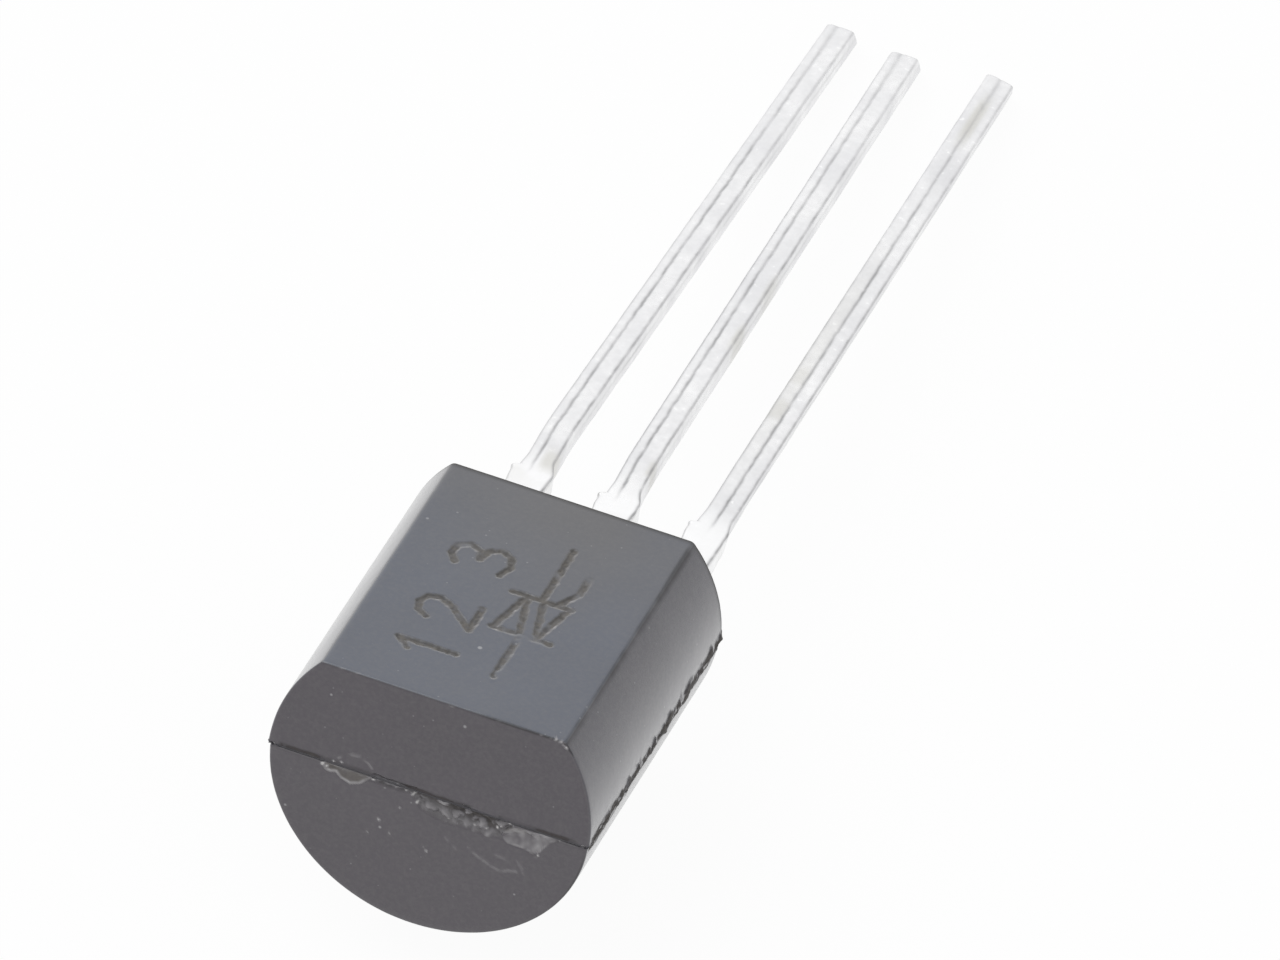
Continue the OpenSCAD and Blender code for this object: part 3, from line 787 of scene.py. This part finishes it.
def leadSection(left, right, t, line, crown):
    # outline of a lead across its length, clockwise from the top left
    soft, crisp = leads["softCorner"], leads["crispCorner"]
    lo, hi, beside = -left + soft, right - crisp, line - 0.065
    xs = [lo, lo * 0.7 + beside * 0.3, lo * 0.35 + beside * 0.65] + [line + i * 0.013 for i in range(-5, 6)]
    xs += [line + (hi - line) * 0.5, line + (hi - line) * 0.66, hi - 0.045, hi - 0.028, hi - 0.014, hi]
    points = [(x, t - crown * (x / left if x < 0 else x / right) ** 2) for x in xs]
    drop = t - crown
    for i in (1, 2):
        g = math.pi / 2 * (1 - i / 3)
        points.append((hi + crisp * math.cos(g), drop - crisp + crisp * math.sin(g)))
    for i in range(6):
        f = 1 - 2 * i / 5
        points.append((right + 0.3 * crown * (1 - f * f), (drop - crisp) * f if f > 0 else (drop - soft) * f))

    def softCorner(x, z, start):
        for i in (1, 2, 3):
            g = start - math.pi / 2 * i / 4
            points.append((x + soft * math.cos(g), z + soft * math.sin(g)))

    softCorner(right - soft, -drop + soft, 0.0)
    for i in range(7):
        f = 1 - 2 * i / 6
        points.append((f * (right - soft if f > 0 else left - soft), -t + crown * f * f))
    softCorner(-left + soft, -drop + soft, -math.pi / 2)
    for i in range(6):
        f = -1 + 2 * i / 5
        points.append((-left - 0.3 * crown * (1 - f * f), (drop - soft) * f))
    softCorner(-left + soft, drop - soft, math.pi)
    return points


def leadLines(one, y):
    # where the painted dark reflections run at a place along the lead, and how dark each is: along the top,
    # on its right edge, fainter down the side, on the left edge, and round the cut end
    seed, length = one["seed"], one["length"]
    nearTip = smooth(length - 1.6, length - 0.5, y)
    faded = 1 - 0.12 * smooth(3.0, 5.0, y) - 0.3 * smooth(8.5, 11.5, y)
    uneven = 0.95 + 0.4 * wander(y, 1.4, seed + 4) + 0.35 * wander(y, 6, seed)
    return {
        "at": one["line"] + 0.006 * wander(y, 0.6, seed),
        "spread": 0.023 + 0.012 * nearTip + 0.004 * wander(y, 2.5, seed),
        "jagged": 0.01 * wander(y, 4.5, seed) + 0.009 * wander(y, 11, seed),
        "cut": smooth(1.75, 2.3, y),
        "middle": faded * (1 - 0.3 * nearTip) * uneven,
        "edge": faded * (0.9 + 0.4 * wander(y, 3, seed + 2) + 0.35 * wander(y, 8, seed)),
        "below": smooth(2.2, 3.0, y) * (0.3 + 0.5 * wander(y, 0.9, seed + 7)),
        "outline": 0.5 - 0.35 * smooth(6.0, 10.5, y) + 0.25 * wander(y, 5, seed + 3),
        "tip": 0.4 * smooth(length - 0.05, length - 0.01, y),
    }


def leadStain(one, p, x):
    # yellowish stains at given places, at their strongest
    stain = 0.0
    for place, reach, strength, start, stop in one["stains"]:
        near = smooth(reach, 0.2 * reach, abs(p.y - place) + 0.06 * ripple(p, 9, one["seed"]))
        stain = max(stain, strength * near * between(start - 0.04, start + 0.04, stop - 0.04, stop + 0.04, x))
    return stain


def leadMesh(one):
    t, length, seed = leads["thick"] / 2, one["length"], one["seed"]
    ys = []
    for i in range(leads["stations"] + 1):
        u = i / leads["stations"]
        ys.append(leads["start"] + (length - 0.025 - leads["start"]) * (0.62 * u + 0.38 * u * u))
    ys += [leads["stubLength"] + i * 0.01 for i in (-4, -2, -1, 0, 1, 2, 3, 4, 5, 7)]
    stations = [(y, 0.0) for y in sorted(ys) if y < length - 0.08]
    stations += [(length - back, inset) for back, inset in leads["rounding"]]
    slantFrom = length - 1.2
    lean = math.radians(one["lean"])
    baseX = one["place"] * leads["pitch"] + leads["frameShift"]
    bm = bmesh.new()
    uvLayer = bm.loops.layers.uv.new("leadRun")
    rings, wearAndPaintedLight = [], []
    for y, inset in stations:
        left, right = leadHalfWidths(y, seed, one["bulge"])
        lines = leadLines(one, y)
        jagged, nearBody = lines["jagged"], smooth(2.6, 1.6, y)
        twist = math.radians(one["twist"]) * smooth(0.7, 3.0, y)
        shiftX = one["stubShift"] * smooth(-0.25, 0.0, y) * smooth(3.2, 1.7, y)
        slanted = leads["slant"] * max(0.0, (y - slantFrom) / (length - slantFrom))
        ring = []
        for x, z in leadSection(left, right, t, lines["at"], leads["crown"] * smooth(1.4, 2.4, y)):
            p = Vector((x, y, z))
            middle = bell(x - lines["at"] - jagged, lines["spread"]) * lines["cut"] if z > 0.1 else 0.0
            edge = bell(math.hypot(x - right + 0.012 - 0.6 * jagged, z - t + 0.006), 0.023)
            below = bell(z - t * 0.25, 0.022) if x > 0.15 else 0.0
            z -= leads["lineDepth"] * middle
            outline = bell(math.hypot(x + left - 0.012, z - t + 0.03), 0.03)
            # dark lines, painted as dark reflections and deepened as grooves
            grimeAndShade = max(middle * lines["middle"], edge * lines["edge"], below * lines["below"],
                        outline * lines["outline"], lines["tip"] * smooth(0.08, 0.17, z))
            wobble = 0.004 * ripple((x * 0.5, y, z * 0.5), 1.7, seed)
            lump = nearBody * 0.007 * ripple((x, y * 0.8, z), 4.5, seed + 6) + 0.0022 * ripple(p, 7, seed)
            x += wobble + (lump if x > 0 else -lump) * smooth(0.12, 0.2, abs(x))
            z += wobble * 0.5 + (lump if z > 0 else -lump) * smooth(0.1, 0.17, abs(z))
            dull = 0.3 * nearBody * smooth(0.05, 0.5, ripple((x, y, z), 2.6, seed + 9)) * smooth(1.2, 1.8, y)
            stain = max(dull, leadStain(one, p, x))
            x, z = x * (1 - inset / 0.2) + shiftX, z * (1 - 0.7 * inset / t)
            across, up = x * math.cos(twist) + z * math.sin(twist), z * math.cos(twist) - x * math.sin(twist)
            out = y - slanted * (z / t + 1) / 2
            px = baseX + across * math.cos(lean) + out * math.sin(lean)
            py = out * math.cos(lean) - across * math.sin(lean)
            ring.append(bm.verts.new((px, py, up)))
            wearAndPaintedLight.append((clip(grimeAndShade), clip(stain), smooth(2.6, 1.8, y), 1.0))
        rings.append(ring)
    count = len(rings[0])
    for j, (lower, upper) in enumerate(zip(rings, rings[1:])):
        for i in range(count):
            k = (i + 1) % count
            face = bm.faces.new((lower[i], upper[i], upper[k], lower[k]))
            for loop, (around, along) in zip(face.loops, ((i, j), (i, j + 1), (i + 1, j + 1), (i + 1, j))):
                loop[uvLayer].uv = (around / count, stations[along][0] / leadReach)
    bm.faces.new(rings[0])
    bm.faces.new(list(reversed(rings[-1])))
    bmesh.ops.recalc_face_normals(bm, faces=bm.faces)
    return bm, wearAndPaintedLight


def addInner(bm, wearAndPaintedLight, node):
    # the part of the lead frame inside the moulding stays as the frame has it
    inner = bmesh.new()
    inner.from_mesh(nodes[node].data)
    bmesh.ops.transform(inner, matrix=toPackage, verts=inner.verts)
    everything = inner.verts[:] + inner.edges[:] + inner.faces[:]
    cut = (0, leads["start"] + 0.02, 0)
    bmesh.ops.bisect_plane(inner, geom=everything, plane_co=cut, plane_no=(0, 1, 0), clear_outer=True)
    bmesh.ops.holes_fill(inner, edges=[e for e in inner.edges if e.is_boundary], sides=0)
    rest = bpy.data.meshes.new("inner")
    inner.to_mesh(rest)
    inner.free()
    bm.from_mesh(rest)
    bpy.data.meshes.remove(rest)
    wearAndPaintedLight += [(0.0, 0.0, 0.0, 1.0)] * (len(bm.verts) - len(wearAndPaintedLight))


leadPieces = []
for node, one in leads["each"].items():
    bm, wearAndPaintedLight = leadMesh(one)
    addInner(bm, wearAndPaintedLight, node)
    leadPieces.append(newPiece(node.replace("_lead", "_tinned"), bm, node, wearAndPaintedLight))
print("leads:", sum(len(p.data.polygons) for p in leadPieces), "faces")

# colours of the moulding, painted shade and painted highlights among them; the mesh's wear and painted light
# says where each one shows
epoxy = {
    "endFace": (0.048, 0.038, 0.052),      # purplish
    "roundSide": (0.018, 0.0145, 0.031),
    "flat": (0.094, 0.093, 0.101),
    "film": (0.073, 0.084, 0.116),         # bluish film on the flat
    "mottle": (0.02, 0.02, 0.022),
    "filler": (0.16, 0.155, 0.15),
    "inMarks": (0.120, 0.108, 0.092),
    # pale broken resin, also used for painted highlights, and crumbs, also used for painted glints
    "broken": (0.31, 0.30, 0.31),
    "crumbAndGlint": (0.62, 0.61, 0.60),
    # dirt and painted shade
    "darkening": (0.012, 0.011, 0.010),
    "dullDirtAndShade": (0.084, 0.078, 0.071),     # dirt and painted shade where there is no gloss left
    "grain": (0.5, 0.5, 0.51),
    "dust": (0.35, 0.35, 0.36),
    "roughness": (0.17, 0.25),
    "coatRoughness": 0.18,
}


def mouldingMaterial(name, glossy):
    material, tree, shader, place = newMaterial(name)
    mark, freshAndHighlight, grimeAndShade, film = readWearAndPaintedLight(tree)
    skin = useGroup(tree, skinGroup, {"Place": place, "Fine": 16000.0, "Slow": 900.0})
    grain = useGroup(tree, speckGroup, {"Place": place, "Spacing": 3200.0, "Share": 0.45, "Size": 0.12})
    dust = useGroup(tree, speckGroup, {"Place": place, "Spacing": 8000.0, "Share": 0.4, "Size": 0.16})
    # film is 0 on the end face, about a quarter on the round sides, and from a half up on the flat
    colour = epoxy["endFace"]
    for value, low, high, amount, paint in (
        (film, 0.0, 0.25, 1.0, "roundSide"),
        (film, 0.25, 0.5, 1.0, "flat"),
        (film, 0.5, 1.0, 1.0, "film"),
        (skin["Tone"], 0.0, 1.0, 0.14, "mottle"),
        (skin["Height"], 0.4, 0.8, 0.2, "filler"),
    ):
        colour = blendColour(tree, ramp(tree, value, low, high, 0.0, amount), colour, epoxy[paint])
    colour = cover(tree, colour, mark, ramp(tree, skin["Height"], 0.3, 0.6, 0.6, 1.0), epoxy["inMarks"])
    # fresh breaks and crumbs, with the painted highlights and glints that share their channel
    colour = blendColour(tree, ramp(tree, freshAndHighlight, 0.0, 0.8), colour, epoxy["broken"])
    colour = blendColour(tree, ramp(tree, freshAndHighlight, 0.75, 1.0), colour, epoxy["crumbAndGlint"])
    # dirt and painted shade
    colour = cover(tree, colour, grimeAndShade, 0.95, epoxy["darkening"] if glossy else epoxy["dullDirtAndShade"])
    colour = cover(tree, colour, grain["Mask"], 0.5, epoxy["grain"])
    colour = cover(tree, colour, dust["Mask"], 0.3, epoxy["dust"])
    spoiled = calc(tree, "MAXIMUM", calc(tree, "MAXIMUM", freshAndHighlight, grimeAndShade), ramp(tree, mark, 0.3, 0.8))
    roughness = ramp(tree, skin["Tone"], 0.0, 1.0, *epoxy["roughness"])
    roughness = calc(tree, "ADD", roughness, calc(tree, "MULTIPLY", spoiled, 0.45), clamp=True)
    if glossy:
        coat = ramp(tree, spoiled, 0.0, 0.7, 0.6, 0.0)
        setInputs(tree, shader, {"Coat Weight": coat, "Coat Roughness": epoxy["coatRoughness"]})
    setInputs(tree, shader, {
        "Base Color": colour,
        "Roughness": roughness,
        "Normal": bumped(tree, skin["Height"], 0.15, 0.000004),
        "IOR": 1.55,
        "Specular IOR Level": 0.5 if glossy else 0.12,
        "Sheen Weight": 1.0 if glossy else 0.0,
        "Sheen Roughness": 0.3,
    })
    return material


# bright tin plate, drawn lengthwise
tinPlate = {
    "bright": (0.94, 0.94, 0.945),
    "dull": (0.78, 0.78, 0.795),
    "grain": (0.70, 0.70, 0.71),
    "fleck": (0.99, 0.99, 0.99),
    "stub": (0.985, 0.985, 0.99),
    "scratch": (0.65, 0.65, 0.65),
    "stain": (0.61, 0.60, 0.55),
    # painted dark reflections: the lines along each lead
    "darkening": (0.36, 0.36, 0.365),
    "speck": (0.5, 0.49, 0.47),
    "roughness": (0.24, 0.36),
}


def tinMaterial():
    material, tree, shader, place = newMaterial("tinPlate")
    # the first channel is the lead's painted dark reflection lines
    grimeAndShade, stain, stub = readWearAndPaintedLight(tree)[:3]
    skin = useGroup(tree, skinGroup, {"Place": place, "Fine": 9000.0, "Slow": 1100.0})
    run = addNode(tree, "ShaderNodeUVMap", uv_map="leadRun").outputs[0]
    drawn = addNode(tree, "ShaderNodeMapping", {"Vector": run, "Scale": (1.0, 0.1, 1.0)}).outputs[0]
    scratches = useGroup(tree, scratchGroup, {"Place": drawn, "Across": 60.0, "Cut": 0.6})
    specks = useGroup(tree, speckGroup, {"Place": place, "Spacing": 2000.0, "Share": 0.05, "Size": 0.2})
    colour = blendColour(tree, skin["Tone"], tinPlate["bright"], tinPlate["dull"])
    colour = blendColour(tree, ramp(tree, skin["Height"], 0.4, 0.62, 0.0, 0.25), colour, tinPlate["grain"])
    colour = blendColour(tree, ramp(tree, skin["Height"], 0.36, 0.28, 0.0, 0.8), colour, tinPlate["fleck"])
    layers = ((stub, 0.75, "stub"), (scratches["Mask"], 0.25, "scratch"), (stain, 0.6, "stain"),
              (grimeAndShade, 0.9, "darkening"), (specks["Mask"], 0.12, "speck"))
    for mask, amount, paint in layers:
        colour = cover(tree, colour, mask, amount, tinPlate[paint])
    roughness = ramp(tree, skin["Tone"], 0.0, 1.0, *tinPlate["roughness"])
    roughness = calc(tree, "ADD", roughness, calc(tree, "MULTIPLY", grimeAndShade, 0.3), clamp=True)
    normal = bumped(tree, skin["Height"], 0.3, 0.000005)
    setInputs(tree, shader, {"Base Color": colour, "Metallic": 1.0, "Roughness": roughness, "Normal": normal})
    return material


# parts that the moulding hides: two tones of each surface, how metallic and rough it is, and its grain
hidden = {
    "dieSolder": {
        "low": (0.52, 0.52, 0.53), "high": (0.66, 0.66, 0.66), "metallic": 1.0, "roughness": 0.42,
        "grain": 15000.0, "nodes": ["die_attach_solder"],
    },
    "silicon": {
        "low": (0.10, 0.11, 0.14), "high": (0.16, 0.17, 0.20), "metallic": 0.4, "roughness": 0.22,
        "grain": 30000.0, "nodes": ["triac_die"],
    },
    "aluminiumWire": {
        "low": (0.78, 0.78, 0.79), "high": (0.88, 0.88, 0.88), "metallic": 1.0, "roughness": 0.28,
        "grain": 40000.0, "nodes": ["gate_bond_wire", "main_bond_wire_1", "main_bond_wire_2"],
    },
}


def hiddenMaterial(name, finish):
    material, tree, shader, place = newMaterial(name)
    skin = useGroup(tree, skinGroup, {"Place": place, "Fine": finish["grain"], "Slow": 1500.0})
    middle = finish["roughness"]
    setInputs(tree, shader, {
        "Base Color": blendColour(tree, skin["Tone"], finish["low"], finish["high"]),
        "Metallic": finish["metallic"],
        "Roughness": ramp(tree, skin["Height"], 0.3, 0.7, middle - 0.06, middle + 0.06),
        "Normal": bumped(tree, skin["Height"], 0.3, 0.000003),
    })
    return material


bodyPiece.data.materials.append(mouldingMaterial("filledEpoxy", True))
# faces mostly under dirt and painted shade get this dull copy
bodyPiece.data.materials.append(mouldingMaterial("shadedAndGrimyEpoxy", False))
for i in shadedAndGrimyFaces:
    bodyPiece.data.polygons[i].material_index = 1
tin = tinMaterial()
for piece in leadPieces:
    piece.data.materials.append(tin)
for name, finish in hidden.items():
    material = hiddenMaterial(name, finish)
    for node in finish["nodes"]:
        for slot in nodes[node].material_slots:
            slot.material = material
print("materials done")

studio = {
    "worldFill": 0.70,
    "floorTone": (0.88, 0.90),  # darkest and palest patches of the white sheet
    "floorWhite": 0.95,         # how nearly white the camera sees it
    "floorHalf": 2,             # metres
    "lampAt": (-0.25, 0.06, 0.36),
    "lampAim": (0, 0, 0.002),
    "lampSize": 0.40,
    "lampWatts": 0.78,
    "lampColour": (0.97, 0.99, 1.0),
}

floorMesh = bpy.data.meshes.new("floor")
half = studio["floorHalf"]
corners = [(x * half, y * half, 0) for x, y in ((-1, -1), (1, -1), (1, 1), (-1, 1))]
floorMesh.from_pydata(corners, [], [(0, 1, 2, 3)])
floor = newObject("floor", floorMesh)
floor.location.z = cadBox[0].z - 0.00001  # just clear of what lies on it


def shownRays(tree):
    # 1 for what the camera sees, directly, in a reflection or through glass
    path = addNode(tree, "ShaderNodeLightPath").outputs
    seen = calc(tree, "MAXIMUM", path["Is Camera Ray"], path["Is Glossy Ray"])
    return calc(tree, "MAXIMUM", seen, path["Is Transmission Ray"])


# white sheet, lit a little less than the camera sees it, and clear from below
material, tree, shader, place = newMaterial("whiteSheet")
shown = shader.outputs[0].links[0].to_socket
skin = useGroup(tree, skinGroup, {"Place": place, "Fine": 900.0, "Slow": 20.0})
darkest, palest = ((tone, tone, tone) for tone in studio["floorTone"])
sheet = blendColour(tree, skin["Tone"], darkest, palest)
setInputs(tree, shader, {"Base Color": sheet, "Roughness": 0.9, "Specular IOR Level": 0.1})
glow = addNode(tree, "ShaderNodeEmission", {"Color": (1, 1, 1, 1), "Strength": 1.0})
seenWhite = calc(tree, "MULTIPLY", shownRays(tree), studio["floorWhite"])
lit = addNode(tree, "ShaderNodeMixShader", {0: seenWhite, 1: shader.outputs[0], 2: glow.outputs[0]})
under = addNode(tree, "ShaderNodeBsdfTransparent")
below = addNode(tree, "ShaderNodeNewGeometry").outputs["Backfacing"]
side = addNode(tree, "ShaderNodeMixShader", {0: below, 1: lit.outputs[0], 2: under.outputs[0]})
tree.links.new(side.outputs[0], shown)
floorMesh.materials.append(material)

world = bpy.data.worlds.new("studio")
bpy.context.scene.world = world
world.use_nodes = True
tree = world.node_tree
tree.nodes.clear()
strength = ramp(tree, shownRays(tree), 0.0, 1.0, studio["worldFill"], 1.0)
sky = addNode(tree, "ShaderNodeBackground", {"Color": (1, 1, 1, 1), "Strength": strength})
addNode(tree, "ShaderNodeOutputWorld", {"Surface": sky.outputs[0]})

lamp = bpy.data.lights.new("softbox", "AREA")
lamp.size, lamp.energy, lamp.color = studio["lampSize"], studio["lampWatts"], studio["lampColour"]
softbox = newObject("softbox", lamp)
softbox.location = studio["lampAt"]
softbox.rotation_mode = "QUATERNION"
aim = Vector(studio["lampAim"]) - Vector(studio["lampAt"])
softbox.rotation_quaternion = aim.to_track_quat("-Z", "Y")

view = {
    "lens": 691.4,
    "azimuth": 17.3466,
    "elevation": 45.9725,
    "roll": 5.6545,
    "aim": (-0.0000197, -0.00097, 0.0013254),
    "distance": 0.32047,
}
azimuth, elevation = math.radians(view["azimuth"]), math.radians(view["elevation"])
level = math.cos(elevation)
away = Vector((math.sin(azimuth) * level, -math.cos(azimuth) * level, math.sin(elevation)))
cameraData = bpy.data.cameras.new("camera")
cameraData.lens = view["lens"]
cameraData.sensor_width = 36.0
cameraData.clip_start, cameraData.clip_end = 0.01, 10.0
camera = newObject("camera", cameraData)
camera.rotation_mode = "QUATERNION"
roll = Matrix.Rotation(math.radians(view["roll"]), 4, "Z").to_quaternion()
camera.rotation_quaternion = (-away).to_track_quat("-Z", "Y") @ roll
camera.location = Vector(view["aim"]) + away * view["distance"]
bpy.context.scene.camera = camera
bpy.context.scene.view_settings.view_transform = "Standard"
print("stage done")

bpy.context.view_layer.update()
